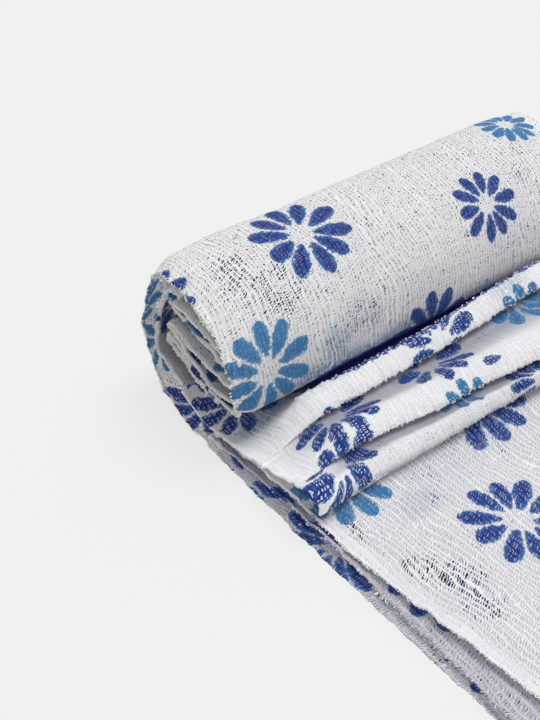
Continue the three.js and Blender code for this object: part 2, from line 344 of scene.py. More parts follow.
def smooth_noise(u, v, size, seed):
    """Soft random heights from -1 to 1, with bumps about size mm apart."""
    table = np.random.RandomState(seed).uniform(-1, 1, (NOISE_SIDE, NOISE_SIDE))
    a, b = u / size, v / size
    i, j = np.floor(a).astype(int), np.floor(b).astype(int)
    s, t = a - i, b - j
    s, t = s * s * (3 - 2 * s), t * t * (3 - 2 * t)

    def at(di, dj):
        return table[(i + di) % NOISE_SIDE, (j + dj) % NOISE_SIDE]

    near = at(0, 0) * (1 - s) + at(1, 0) * s
    return near * (1 - t) + (at(0, 1) * (1 - s) + at(1, 1) * s) * t


def relief(u, v, crest, crumple):
    """Height in mm above the smooth sheet, at flat places u and v."""
    height = crumple * (smooth_noise(u, v, *BROAD_CRUMPLE) + 0.5 * smooth_noise(u, v, *SMALL_CRUMPLE))
    height = height + crumple * 0.9 * smooth_noise(u, v / 5, *LONG_CRUMPLE)
    wander = 1.1 * smooth_noise(u, 0 * v, *SCALLOP_WANDER)
    scallop = np.abs(np.sin(math.pi * (u / SCALLOP_WIDTH + wander)))
    tall = 1 + 0.6 * smooth_noise(u, v, *SCALLOP_TALL)
    tuft = smooth_noise(u, v, *TUFT)
    stands = crest * smooth(u, *CREST_FADE)
    return height + stands * (SCALLOP_HEIGHT * tall * scallop + TUFT_HEIGHT * tuft - CREST_SINK)


def with_curled_edges(points, across, run, side, radius):
    """Both long edges curl over into a soft round rim, as a cut knit does."""
    normal = surface_normals(points) * side
    for end, way in ((0, -1.0), (-1, 1.0)):
        edge, up = points[:, end], normal[:, end]
        out = np.array([way, 0, 0]) + 0 * up
        out -= up * (out * up).sum(1, keepdims=True)
        out /= np.linalg.norm(out, axis=1, keepdims=True)
        extra, places = [], []
        for degrees in CURL_DEGREES[1:]:
            angle = math.radians(degrees)
            fluff = smooth_noise(run, 0 * run + degrees / FLUFF_DEGREES, *RIM_FLUFF)[:, None]
            turned = out * math.sin(angle) + up * (1 - math.cos(angle))
            extra.append(edge + radius * (1 + FLUFF * fluff) * turned)
            places.append(across[end] + way * radius * angle)
        extra, places = np.stack(extra, 1), np.array(places)
        if end == 0:
            points = np.concatenate([extra[:, ::-1], points], 1)
            across = np.concatenate([places[::-1], across])
            normal = np.concatenate([normal[:, :1]] * len(places) + [normal], 1)
        else:
            points = np.concatenate([points, extra], 1)
            across = np.concatenate([across, places])
    return points, across


print("noise tables of", NOISE_SIDE, "by", NOISE_SIDE)

# %% [markdown]
# The flowers are printed on the flat strip before it is folded, so each one is
# placed on the flat cloth: how far past a named bend, how far across, its
# radius, its ink and its number of petals. A fold then cuts and bends it as it
# does the real print. Where nothing much shows, a staggered repeat fills in.

# %% The flower print
DARK, LIGHT = 0.0, 1.0
# Rows say how far past the bend and across, radius, ink, petals and turn
FLOWERS = {
    "top layer, mid length": [(11, -59, 31, DARK, 10, 0.1), (6, 104, 29, DARK, 11, 0.4)],
    "top layer, near the pleats": [
        (27, -113, 31, LIGHT, 10, 0.3), (29, -12, 36, DARK, 11, 0.5),
        (20, 92, 28, LIGHT, 10, 0.2),
    ],
    "top layer, under the pleats": [(35, -118, 28, LIGHT, 10, 0.0)],
    "top layer, free end": [(44, 34, 27, LIGHT, 10, 0.7)],
    "middle layer, mid length": [(-10, -110, 29, DARK, 10, 0.2), (52, -60, 27, DARK, 10, 0.5)],
    "middle layer, under the pleats": [
        (30, -62, 30, LIGHT, 10, 0.6), (30, -2, 27, DARK, 10, 0.1),
    ],
    "bottom layer, mid length": [(24, -128, 32, DARK, 12, 0.3), (-65, -114, 25, DARK, 10, 0.8)],
    "bottom layer rises behind the roll": [
        (33, -122, 27, DARK, 10, 0.2), (80, -126, 20, LIGHT, 9, 0.5),
    ],
    "back of the roll": [(33, -151, 27, LIGHT, 11, 0.1)],
    "top of the roll": [
        (29, -159, 28, DARK, 11, 0.6), (35, -63, 31, DARK, 10, 0.35),
        (21, 114, 21, LIGHT, 11, 0.1),
    ],
    "face of the roll": [(31, 55, 23.5, DARK, 10, 0.0), (61, -119, 29, LIGHT, 10, 0.25)],
    "foot of the roll": [(9, 0, 29, DARK, 10, 0.4)],
    "lining of the foot": [(3, -124, 28, DARK, 10, 0.5)],
    "floor of the pocket": [(14, -118, 25, DARK, 10, 0.1)],
    "lower lap of the core": [(12, -120, 20, LIGHT, 9, 0.9)],
    "upper fold of the core": [(40, -98, 30, DARK, 10, 0.3)],
    "second layer over the top": [
        (5, 22, 30, DARK, 10, 0.6), (0, 88, 28, DARK, 10, 0.1),
        (53, -121, 24, DARK, 10, 0.5),
    ],
    "under the roll": [(2, -118, 28, DARK, 10, 0.7)],
    "beside the roll": [
        (4, -74, 25, DARK, 14, 0.0), (4, -32, 25, DARK, 14, 0.3),
        (4, 10, 25, DARK, 14, 0.7), (4, 52, 25, DARK, 14, 0.2),
        (4, 94, 25, DARK, 14, 0.5), (4, 134, 25, DARK, 14, 0.9),
    ],
    "first face": [(2, -8, 28, DARK, 10, 0.2)],
    "first valley": [(2, -93, 30, DARK, 10, 0.4), (-1, -21, 27, DARK, 10, 0.1)],
    "under the first lip": [(3, 56, 25, LIGHT, 10, 0.3)],
    "second crest": [(5, 15, 18, DARK, 1, 3.1)],
    "second valley": [(-12, -113, 31, DARK, 10, 0.55)],
    "second lip": [(9, -22, 20, LIGHT, 9, 0.2), (2, 96, 26, DARK, 10, 0.6)],
    "third crest": [(4, 27, 24, DARK, 10, 0.6)],
}

# Cloth tucked in under the lips of the pleats, which runs out at the left edge
TUCKS = [("first lip", "first valley", 14), ("second lip", "second valley", 11)]


def flat_run(u, v):
    """The place along the flat strip, less what the left edge doesn't tuck in."""
    untucked = 1 - smooth(u, STATIONS[0], STATIONS[1])
    for start, end, length in TUCKS:
        v = v - length * untucked * smooth(v, run_at(start), run_at(end))
    return v


PLACED = [
    (across, run_at(bend) + past, radius, ink, petals, turn)
    for bend, flowers in FLOWERS.items() for past, across, radius, ink, petals, turn in flowers
]

# Stretches that the repeat leaves alone, because the table has their flowers
CHARTED = [
    ("top layer, free end", "back fold of the top and middle layers"),
    ("top of the roll", "underside of the roll"),
    ("beside the roll", "free end"),
]
REPEAT_ALONG, REPEAT_ACROSS, REPEAT_RADIUS, REPEAT_GAP = 62, 84, 27, 6
REPEAT_START, REPEAT_SHIFT, REPEAT_PETALS, REPEAT_LIGHT, REPEAT_PAST_EDGE = 20, -12, 10, 0.4, 10


def repeat_flowers():
    shade = np.random.RandomState(11)
    flowers = []
    for row, run in enumerate(np.arange(REPEAT_START, RUNS[-1], REPEAT_ALONG)):
        charted = any(run_at(a) < run < run_at(b) for a, b in CHARTED)
        for column in range(-2, 3):
            across = (column + 0.5 * (row % 2)) * REPEAT_ACROSS + REPEAT_SHIFT
            ink, turn = float(shade.rand() < REPEAT_LIGHT), shade.rand()
            near = any(
                math.hypot(across - p[0], run - p[1]) < REPEAT_RADIUS + p[2] + REPEAT_GAP
                for p in PLACED
            )
            if not charted and not near and abs(across) < WIDTH / 2 + REPEAT_PAST_EDGE:
                flowers.append((across, run, REPEAT_RADIUS, ink, REPEAT_PETALS, turn))
    return flowers


PRINT = np.array(PLACED + repeat_flowers(), float)
print(len(PLACED), "placed flowers and", len(PRINT) - len(PLACED), "in the repeat")

# %% [markdown]
# In a few places the knit is pulled open and shows dark holes in clusters, and
# in a few the blue of a flower underneath comes through. They are placed as the
# flowers are: how far past a bend, how far across, and their reach along and
# across the strip. Open and tint say how strongly, from 0 to 1.

# %% Open and tinted patches
PATCH_FULL, PATCH_END = 0.45, 1.15
# Rows say how far past the bend and across, reach along and across, open and tint
PATCHES = {
    "top layer, mid length": [(18, -120, 14, 12, 0.7, 0), (50, -88, 12, 18, 0.3, 0.3)],
    "top layer, free end": [
        (80, -112, 18, 17, 0.8, 0), (64, -120, 13, 11, 0.9, 0), (50, -100, 16, 10, 0.25, 0),
        (40, 20, 26, 30, 0.5, 0.2),
    ],
    "top layer, near the pleats": [(1, -129, 17, 7, 0.9, 0), (8, -40, 16, 60, 0.3, 0.15)],
    "face of the roll": [
        (10, -112, 22, 18, 0.75, 0), (24, -97, 18, 19, 0.75, 0),
        (59, -52, 17, 17, 0.55, 0.25), (65, -72, 12, 13, 0.4, 0.7),
        (82, -76, 14, 44, 0.3, 1.0), (81, -18, 13, 40, 0.3, 0.9),
        (80, 32, 11, 28, 0.25, 0.6), (20, 90, 20, 30, 0.3, 0),
    ],
    "top of the roll": [(10, 40, 16, 24, 0.3, 0)],
    "first crest": [(2, 52, 11, 20, 0.3, 0.45), (0, -124, 8, 14, 0.75, 0.1)],
    "beside the roll": [(6, -119, 14, 20, 0.9, 0.7)],
    "first valley": [(4, 60, 10, 60, 0.2, 0.2)],
    "second face": [(0, 20, 10, 150, 0.55, 0.05)],
    "third crest": [(2, 20, 10, 150, 0.55, 0.05)],
    "bottom layer, mid length": [(-30, -120, 40, 22, 0.3, 0.3)],
}


def patch_shares(u, v):
    """How open and how tinted the knit is at flat places u and v."""
    opened, tinted = 0 * u, 0 * u
    for bend, patches in PATCHES.items():
        for past, across, along, wide, most_open, tint in patches:
            run = run_at(bend) + past
            far = np.hypot((u - across) / wide, (v - run) / along)
            share = 1 - smooth(far, PATCH_FULL, PATCH_END)
            opened = np.maximum(opened, most_open * share)
            tinted = np.maximum(tinted, tint * share)
    return opened, tinted


print(sum(map(len, PATCHES.values())), "patches")

# %% [markdown]
# Each face of the grid looks up the flower nearest to it and stores its own
# place inside that flower, in flower radii, as a UV map of its own. The shader
# then draws petals from it, sharp at any distance, without any image. More maps
# keep the ink, the painted shade and the patches, and OFBake is an even layout
# of the whole stretch, for when its finish is baked.

# %% Flat maps of a mesh
BAKE_SHARE, BAKE_MARGIN = 0.992, 0.004


def corner_values(grid):
    """Values at the four corners of each face, in the order of its loops."""
    return np.stack([grid[:-1, :-1], grid[:-1, 1:], grid[1:, 1:], grid[1:, :-1]], 2)


def add_map(mesh, name, u, v):
    layer = mesh.uv_layers.new(name=name, do_init=False)
    layer.uv.foreach_set("vector", np.stack([u, v], -1).astype(np.float32).ravel())


def flower_maps(mesh, u, v):
    cu, cv = corner_values(u), corner_values(v)
    mu, mv = cu.mean(2), cv.mean(2)
    best = np.full(mu.shape, np.inf)
    which = np.zeros(mu.shape, int)
    for i, (fu, fv, radius) in enumerate(PRINT[:, :3]):
        far = np.hypot(mu - fu, mv - fv) / radius
        which = np.where(far < best, i, which)
        best = np.minimum(far, best)
    fu, fv, radius, ink, petals, turn = (PRINT[which][..., n][:, :, None] for n in range(6))
    a, b = (cu - fu) / radius, (cv - fv) / radius
    add_map(mesh, "flower", a * np.cos(turn) - b * np.sin(turn), a * np.sin(turn) + b * np.cos(turn))
    add_map(mesh, "ink", ink + 0 * cu, petals + 0 * cu)


def bake_share(values):
    return (values - values.min()) / (values.max() - values.min()) * BAKE_SHARE + BAKE_MARGIN


print(len(PRINT), "flowers to look up")

# %% [markdown]
# Deep in the gap between the roll and the first pleat the cloth is painted solid
# dark blue: the dark print there, and painted shade of the deep gap where white
# yarn would show between the petals. It starts low on the roll's face and goes on
# behind the first crest, and it ends before both edges of the cloth. Its depth is
# kept in centimetres.

# %% The dark print in the gap
BAND_LOW_ON_FACE, BAND_PAST_CREST = 80, 1.2
BAND_LEFT_AT_FOOT, BAND_LEFT_AT_CREST, BAND_RIGHT = (-116, -84), (-122, -66), (86, 108)
BAND_UNIT, BAND_LEAST = 10, -2


def band_depth(u, v):
    """How far inside the dark print flat places u and v lie."""
    foot, back = run_at("underside of the roll"), run_at("under the roll, back")
    low_on_face = run_at("face of the roll") + BAND_LOW_ON_FACE
    crest = run_at("first crest") + BAND_PAST_CREST
    inside = 1 - smooth(u, *BAND_RIGHT)
    start = foot + (low_on_face - foot) * smooth(u, *BAND_LEFT_AT_FOOT) * inside
    end = back + (crest - back) * smooth(u, *BAND_LEFT_AT_CREST) * inside
    at_foot, at_crest = np.minimum(v - start, foot - v), np.minimum(v - back, end - v)
    return np.maximum(np.maximum(at_foot, at_crest) / BAND_UNIT, BAND_LEAST)


print("dark print up to", BAND_PAST_CREST, "mm past the first crest")

# %% [markdown]
# A stretch is made in two steps. First its grid of points gets the crumples, the
# sway of its edges, a left rim that is drawn in where the roll is rounded, and
# the curl. Then the points become a mesh with all its flat maps.

# %% One stretch of the cloth
BROAD_SWAY_WIDTH, SMALL_SWAY_WIDTH, SWAY_MARGIN = 0.7, 0.45, 6
ROUNDED_MARGIN, ROUNDED_FROM = 15, (8, 24)
POCKET_SHADE_DEPTH = 11
LOWEST_Z, TABLE_SLACK = 0.2, 0.01
GRIDS = {}


def formed_grid(first, last, step, across, crumple, side, rounded, curl):
    """Points of a stretch with its folds, crumples and edges."""
    points, run, lie = cloth_grid(first, last, step, across)
    u, v = np.broadcast_to(across, points.shape[:2]), np.broadcast_to(run[:, None], points.shape[:2])
    height = relief(u, v, lie[:, :1], crumple)
    on_table = points[:, :, 2] <= TABLE_Z + TABLE_SLACK
    points = points + surface_normals(points) * np.where(on_table, 0, height)[:, :, None]
    sway = smooth_noise(v, 0 * v, *BROAD_SWAY) * BROAD_SWAY_WIDTH
    sway = sway + smooth_noise(v, 0 * v, *SMALL_SWAY) * SMALL_SWAY_WIDTH
    points[:, :, 0] += sway * smooth(np.abs(u), FLAT_EDGE - SWAY_MARGIN, FLAT_EDGE)
    if rounded:
        inward = surface_normals(points) * side
        turn_in = rounded * (1 - smooth(u, -FLAT_EDGE, -FLAT_EDGE + ROUNDED_MARGIN)) ** 2
        points = points + inward * (turn_in * smooth(points[:, :, 2], *ROUNDED_FROM))[:, :, None]
    points, across = with_curled_edges(points, across, run, side, curl)
    points[:, :, 2] = np.maximum(points[:, :, 2], LOWEST_Z)
    points[:, :, 1] += SHIFT_Y
    return points, across, run, lie


def make_stretch(name, first, last, step, spacing, crumple, side=1, edge_spacing=1.2, rounded=0,
                 curl=CURL_RADIUS, under=0, pocket=0):
    """One stretch of the cloth as a smooth mesh with its flat maps."""
    a = 0 if first is None else guide_at(first)
    b = len(GUIDES) - 1 if last is None else guide_at(last)
    columns = margin_columns(spacing, edge_spacing)
    points, across, run, lie = formed_grid(a, b, step, columns, crumple, side, rounded, curl)
    shape = points.shape[:2]
    index = np.arange(shape[0] * shape[1]).reshape(shape)
    faces = corner_values(index).reshape(-1, 4)
    mesh = bpy.data.meshes.new(name)
    mesh.from_pydata((points.reshape(-1, 3) * MM).tolist(), [], faces.tolist())
    u, v = np.broadcast_to(across, shape), np.broadcast_to(run[:, None], shape)
    # The shade map is painted shade: the pleats' shade column, fading out towards the left edge, all over
    # the under layers, and inside the roll, darker further from its ends
    shade = lie[:, 1:] * smooth(u, STATIONS[0], STATIONS[1]) + under
    shade = shade + pocket * smooth(FLAT_EDGE - np.abs(u), 0, POCKET_SHADE_DEPTH)
    opened, tinted = patch_shares(u, v)
    printed = flat_run(u, v)
    add_map(mesh, "lie", corner_values(band_depth(u, v)), corner_values(shade))
    add_map(mesh, "patches", corner_values(opened), corner_values(tinted))
    add_map(mesh, "cloth", corner_values(u) * MM, corner_values(printed) * MM)
    flower_maps(mesh, u, printed)
    add_map(mesh, "OFBake", corner_values(bake_share(u)), corner_values(bake_share(v)))
    mesh.shade_smooth()
    piece = bpy.data.objects.new(name, mesh)
    bpy.context.scene.collection.objects.link(piece)
    piece["length"] = float(run[-1] - run[0]) * MM
    GRIDS[name] = (points, across, run)
    print(name, shape[0], "by", shape[1], "points,", 2 * len(faces), "triangles")
    return piece


print("edges curl with a radius of about", CURL_RADIUS, "mm or more")

# %% [markdown]
# The top layer shows most of its face, so it gets a point about every 1.6 mm.
# The two layers under it show only their left edges and get fewer.

# %% The flat layers
top_layer = make_stretch("top_layer", None, "back fold of the top and middle layers", 1.6, 1.7, 0.35)
# The under layers get painted shade all over, as they lie beneath the top layer
under_layers = make_stretch(
    "under_layers", "back fold of the top and middle layers",
    "bottom layer rises behind the roll", 2.6, 5, 0.25, side=-1, under=0.45,
)

# %% [markdown]
# The outer turn of the roll runs up behind it, over the top, down the face and
# under the foot. The inner laps show only at the roll's two ends.

# %% The roll
roll_wrap = make_stretch(
    "roll_wrap", "bottom layer rises behind the roll", "underside of the roll", 1.6, 1.7, 0.22,
    rounded=4,
)
# The inner laps get painted shade that deepens away from the roll's two ends
roll_core = make_stretch(
    "roll_core", "underside of the roll", "second layer over the top", 1.9, 5, 0.3,
    curl=1.3, pocket=0.6,
)
roll_lining = make_stretch(
    "roll_lining", "second layer over the top", "under the roll, back", 1.9, 4, 0.25,
    side=-1, rounded=5, curl=1.4, pocket=0.6,
)

# %% [markdown]
# The pleats are the part that catches the eye: soft ridges whose crests break
# into small scallops. They get the finest grid.

# %% The pleats
pleats = make_stretch("pleats", "under the roll, back", None, 1.0, 0.72, 0.3, edge_spacing=0.9)
CLOTH = [top_layer, under_layers, roll_wrap, roll_core, roll_lining, pleats]

# %% [markdown]
# Where the knit is stretched over a crest, single loops of yarn stand free of
# it, and the cut left edges are frayed into such loops too. One small ring is
# modelled, bent out of its plane, and set along the crests, the lips and the
# edges again and again, each copy turned and sized a little otherwise.

# %% The loops on the crests and edges
Line = namedtuple("Line", "crease past from_x every")
LOOP_LINES = [
    Line("first crest", -1.5, -112, 1.9),
    Line("first crest", 0.8, -118, 2.7),
    Line("first lip", -0.5, -116, 2.0),
    Line("second lip", -0.5, -104, 2.3),
    Line("third crest", 1.0, -110, 2.6),
    Line("front face", 2.0, -114, 3.1),
]
LOOP_RADIUS, YARN_RADIUS, LOOP_STRETCH, LOOP_TWIST, LOOP_RISE = 0.62, 0.15, 1.35, 0.3, 0.35
# How far apart the loops stand along the left edge of a stretch
EDGES = {"top_layer": 2.1, "under_layers": 4.5, "roll_wrap": 2.4, "roll_core": 3.2, "roll_lining": 3.2}
EDGE_WAY = np.array([-1, 0, 0.5])
EDGE_INSET = np.array([0.4, 0, 0])
EDGE_COLUMN = 5

bpy.ops.object.select_all(action="DESELECT")
bpy.ops.mesh.primitive_torus_add(
    major_segments=9, minor_segments=4, major_radius=LOOP_RADIUS, minor_radius=YARN_RADIUS,
)
ring = bpy.context.object
bpy.ops.object.mode_set(mode="EDIT")
bpy.ops.mesh.select_all(action="SELECT")
bpy.ops.transform.resize(value=(1, LOOP_STRETCH, 1))
bpy.ops.object.mode_set(mode="OBJECT")
RING = np.array([v.co for v in ring.data.vertices])
RING[:, 2] += LOOP_TWIST * RING[:, 0] * RING[:, 1]
RING_FACES = np.array([list(f.vertices) for f in ring.data.polygons])
bpy.data.objects.remove(ring)


def ring_at(place, up, chance):
    """One ring standing on a place, turned at random about its upward way."""
    up = up / np.linalg.norm(up)
    side = np.cross(up, chance.uniform(-1, 1, 3))
    side /= np.linalg.norm(side)
    shaped = RING * chance.uniform(0.7, 1.3)
    return place + LOOP_RISE * up + shaped @ np.array([side, up, np.cross(side, up)])


def standing_loops():
    chance = np.random.RandomState(21)
    rings = []
    points, across, run = GRIDS["pleats"]
    normals = surface_normals(points)
    for line in LOOP_LINES:
        row = int(np.argmin(np.abs(run - run_at(line.crease) - line.past)))
        for x in np.arange(line.from_x, FLAT_EDGE - 2, line.every):
            column = int(np.argmin(np.abs(across - x - chance.uniform(-0.8, 0.8))))
            at = row + chance.randint(-1, 2)
            up = normals[at, column] + chance.uniform(-0.5, 0.5, 3)
            rings.append(ring_at(points[at, column], up, chance))
    for stretch, every in EDGES.items():
        points, across, run = GRIDS[stretch]
        for along in np.arange(run[0], run[-1], every):
            row = int(np.argmin(np.abs(run - along)))
            out = EDGE_WAY + chance.uniform(-0.7, 0.7, 3)
            rings.append(ring_at(points[row, EDGE_COLUMN] + EDGE_INSET, out, chance))
    spots = np.concatenate(rings)
    spots[:, 2] = np.maximum(spots[:, 2], LOWEST_Z)
    faces = np.concatenate([RING_FACES + len(RING) * i for i in range(len(rings))])
    mesh = bpy.data.meshes.new("yarn_loops")
    mesh.from_pydata((spots * MM).tolist(), [], faces.tolist())
    mesh.shade_smooth()
    piece = bpy.data.objects.new("yarn_loops", mesh)
    bpy.context.scene.collection.objects.link(piece)
    print(len(rings), "loops,", 2 * len(faces), "triangles")
    return piece


yarn_loops = standing_loops()

# %% [markdown]
# The finish is worked out by shader nodes, and there are many of them. So a
# small class keeps the node tree and has a short word for each kind of node,
# which adds it, fills its inputs, in order or by name, and gives back an output.

# %% Short words for shader nodes
class Wiring:
    """A node tree, and the words that add nodes to it."""

    def __init__(self, tree):
        self.tree = tree

    def fill(self, socket, source):
        if isinstance(source, bpy.types.NodeSocket):
            self.tree.links.new(source, socket)
        elif source is not None:
            socket.default_value = source

    def add(self, kind, *sources, out=0, **settings):
        node = self.tree.nodes.new(kind)
        for key, value in settings.items():
            setattr(node, key, value)
        for source, socket in zip(sources, node.inputs):
            self.fill(socket, source)
        return node.outputs[out]

    def fill_named(self, node, sources):
        for name, source in sources.items():
            self.fill(node.inputs[name], source)
        return node.outputs[0]

    def add_named(self, kind, sources):
        return self.fill_named(self.tree.nodes.new(kind), sources)

    def maths(self, operation, *sources, clamp=False):
        return self.add("ShaderNodeMath", *sources, operation=operation, use_clamp=clamp)

    def plus(self, a, b):
        return self.maths("ADD", a, b)

    def minus(self, a, b):
        return self.maths("SUBTRACT", a, b)

    def times(self, a, b):
        return self.maths("MULTIPLY", a, b)

    def over(self, a, b):
        return self.maths("DIVIDE", a, b)

    def scaled(self, value, by, then_add, clamp=False):
        return self.maths("MULTIPLY_ADD", value, by, then_add, clamp=clamp)

    def larger(self, a, b):
        return self.maths("MAXIMUM", a, b)

    def from_middle(self, value):
        """How far the part after the point lies from one half, from 0 to 1."""
        return self.maths("ABSOLUTE", self.scaled(self.maths("FRACT", value), 2.0, -1.0))

    def ramp(self, value, low, high):
        return self.add("ShaderNodeMapRange", value, low, high, 0.0, 1.0, interpolation_type="SMOOTHSTEP")

    def parts(self, vector):
        return self.add("ShaderNodeSeparateXYZ", vector).node.outputs[:3]

    def joined(self, x, y, z):
        return self.add("ShaderNodeCombineXYZ", x, y, z)

    def chance_of(self, number):
        return self.add("ShaderNodeTexWhiteNoise", None, number, noise_dimensions="1D")

    def chances_of(self, vector):
        return self.parts(self.add("ShaderNodeTexWhiteNoise", vector, noise_dimensions="3D", out=1))

    def noise(self, vector, scale, detail=2.0):
        return self.add("ShaderNodeTexNoise", vector, None, scale, detail)

    def mixed(self, factor, a, b):
        # The two colours are the node's seventh and eighth inputs
        return self.add("ShaderNodeMix", factor, *[None] * 5, a, b, out=2, data_type="RGBA")

    def map_of(self, name):
        return self.add("ShaderNodeUVMap", uv_map=name)

    def group(self, tree, *sources):
        return self.add("ShaderNodeGroup", *sources, node_tree=tree).node.outputs

    def bump(self, height, strength, distance):
        sources = {"Height": height, "Strength": strength, "Distance": distance}
        return self.add_named("ShaderNodeBump", sources)


def new_group(name, inputs, outputs):
    tree = bpy.data.node_groups.new(name, "ShaderNodeTree")
    for label, kind in inputs:
        tree.interface.new_socket(name=label, in_out="INPUT", socket_type="NodeSocket" + kind)
    for label in outputs:
        tree.interface.new_socket(name=label, in_out="OUTPUT", socket_type="NodeSocketFloat")
    return Wiring(tree), tree.nodes.new("NodeGroupInput").outputs, tree.nodes.new("NodeGroupOutput").inputs


print(len([word for word in dir(Wiring) if not word.startswith("_")]), "words for shader nodes")

# %% [markdown]
# The knit is a ladder: wales, thin chains of loops, run along the strip up to
# 3.4 mm apart, and rungs cross between them, a little askew. Between two rungs
# lies a narrow slot, here wide open and there closed. All of it is worked out in
# the shader from the flat map, as a node group, so the bump, the holes and the
# colour always agree. Noise of four sizes bends the wales and rungs, so that no
# line runs straight.

# %% The knit as a node group
WALE_GAP, RUNG_GAP = 3.4 * MM, 1.45 * MM
WALE_EDGE, RUNG_EDGE = (0.66, 0.92), (0.3, 0.85)
HOLE_WIDE, HOLE_LONG, LARGEST_HOLE = 0.72, 0.56, 1.2
HOLE_RIM = (-0.12, 0.1)
SHARE_CUT_THROUGH = 0.35


def knit_group():
    net, given, made = new_group(
        "ladder_knit",
        [("Flat place", "Vector"), ("Openness", "Float"), ("Least", "Float"), ("Skew", "Float"),
         ("Fine", "Float")],
        ["Height", "Hole", "Deep", "Gap", "Chance"],
    )
    place, opening, least, skew, fine = given[:5]
    across, along, _ = net.parts(place)

    def slower(lengthwise):
        return net.add("ShaderNodeVectorMath", place, (1.0, lengthwise, 1.0), operation="MULTIPLY")

    bend = net.scaled(net.noise(slower(0.5), 40, 1.0), 4.0, -2.0)
    bend = net.scaled(net.noise(slower(0.2), 200, 1.0), 0.9, bend)
    bend = net.scaled(net.noise(place, 170), 0.7, bend)
    wales = net.times(net.plus(net.over(across, WALE_GAP), bend), fine)
    column = net.maths("FLOOR", wales)
    from_hole = net.from_middle(wales)
    rungs = net.plus(net.over(along, RUNG_GAP), net.times(net.chance_of(column), 3.0))
    rungs = net.scaled(net.over(across, RUNG_GAP), skew, rungs)
    rungs = net.scaled(net.noise(place, 380), 2.2, rungs)
    from_gap = net.from_middle(rungs)
    first, second, third = net.chances_of(net.joined(column, net.maths("FLOOR", rungs), 0.0))
    nearest_wale = net.maths("FLOOR", net.plus(wales, 0.5))
    strong = net.scaled(net.chance_of(nearest_wale), 0.55, 0.5)
    wale = net.times(net.ramp(from_hole, *WALE_EDGE), strong)
    rung = net.times(net.ramp(from_gap, *RUNG_EDGE), net.scaled(second, 0.5, 0.45))
    height = net.scaled(net.noise(place, 2600, 1.0), 0.3, net.larger(wale, rung))
    patches = net.scaled(net.noise(place, 75, 3.0), 3.2, -1.55)
    openness = net.larger(net.plus(patches, opening), least)
    size = net.maths("MINIMUM", net.times(net.scaled(first, 1.1, 0.25), openness), LARGEST_HOLE)
    sideways = net.maths("POWER", net.over(from_hole, HOLE_WIDE), 2.4)
    reach = net.plus(sideways, net.maths("POWER", net.over(from_gap, HOLE_LONG), 2.0))
    hole = net.ramp(net.minus(net.times(size, size), reach), *HOLE_RIM)
    # Deep holes are not cut: the material paints them dark, as painted shade of the gap beneath
    deep = net.maths("GREATER_THAN", third, SHARE_CUT_THROUGH)
    gap = net.maths("LESS_THAN", reach, net.scaled(first, 0.6, 0.35))
    for value, socket in zip((height, hole, deep, gap, second), made):
        net.fill(socket, value)
    return net.tree


KNIT = knit_group()
print("the knit takes", len(KNIT.nodes), "nodes")

# %% [markdown]
# A flower is drawn around its centre: the angle says which petal, the distance
# how far out along it. A petal is a teardrop, narrow inside and round outside,
# and each one starts, ends and leans a little otherwise than the next, as in a
# print on stretchy cloth.

# %% The petals as a node group
PETAL_HALF_WIDTH = 0.26
TIP_LEAST, TIP_MORE = 0.88, 0.13
FOOT_LEAST, FOOT_MORE = 0.2, 0.07
# Added to a petal's number, which may be negative, before the modulo
WHOLE_COUNTS = 24.0


def petal_group():
    net, given, made = new_group(
        "petals",
        [("Place", "Vector"), ("Petals", "Float"), ("Flat place", "Vector"), ("Ragged", "Float")],
        ["Mask", "Inner"],
    )
    place, petals, flat, ragged = given[:4]
    x, y, _ = net.parts(place)
    out = net.add("ShaderNodeVectorMath", place, operation="LENGTH", out=1)
    turn = net.over(net.maths("ARCTAN2", y, x), 2 * math.pi)
    step = net.scaled(turn, petals, 0.5)
    petal = net.maths("MODULO", net.plus(net.maths("FLOOR", step), WHOLE_COUNTS), petals)
    leaning, longer, deeper = net.chances_of(net.joined(petal, petals, 3.0))
    aside = net.plus(net.minus(net.maths("FRACT", step), 0.5), net.scaled(leaning, 0.16, -0.08))
    arc = net.over(net.times(aside, 2 * math.pi), petals)
    rough = net.scaled(ragged, 0.04, net.scaled(net.noise(flat, 700), 0.1, -0.07))
    across = net.plus(net.times(net.maths("ABSOLUTE", arc), out), rough)
    tip = net.scaled(longer, TIP_MORE, TIP_LEAST)
    foot = net.scaled(deeper, FOOT_MORE, FOOT_LEAST)
    share = net.maths("DIVIDE", net.minus(out, foot), net.minus(tip, foot), clamp=True)
    swell = net.maths("POWER", share, 0.62)
    close = net.maths("POWER", net.minus(1.0, net.maths("POWER", share, 3.2)), 0.55)
    within = net.minus(net.times(net.times(swell, close), PETAL_HALF_WIDTH), across)
    between_ends = net.times(net.maths("GREATER_THAN", share, 0.01), net.maths("LESS_THAN", share, 0.99))
    net.fill(made[0], net.times(net.ramp(within, -0.012, 0.022), between_ends))
    net.fill(made[1], net.ramp(within, 0.02, 0.1))
    return net.tree


PETALS = petal_group()
print("the petals take", len(PETALS.nodes), "nodes")

# %% [markdown]
# One material carries the whole towel, in five settings. White yarn is painted a
# little darker and bluer where it lies low, as painted shade in the dips of the
# knit, and painted dimmer where it is hidden from the light, as painted shade.
# Ink sits thick on the raised yarn and thin at a petal's rim and between the
# stitches. Some holes are painted dark, as painted shade of the gap under the
# cloth, and the others are cut with Alpha. Light passes through thin cloth, so a
# Translucent shader is mixed in.

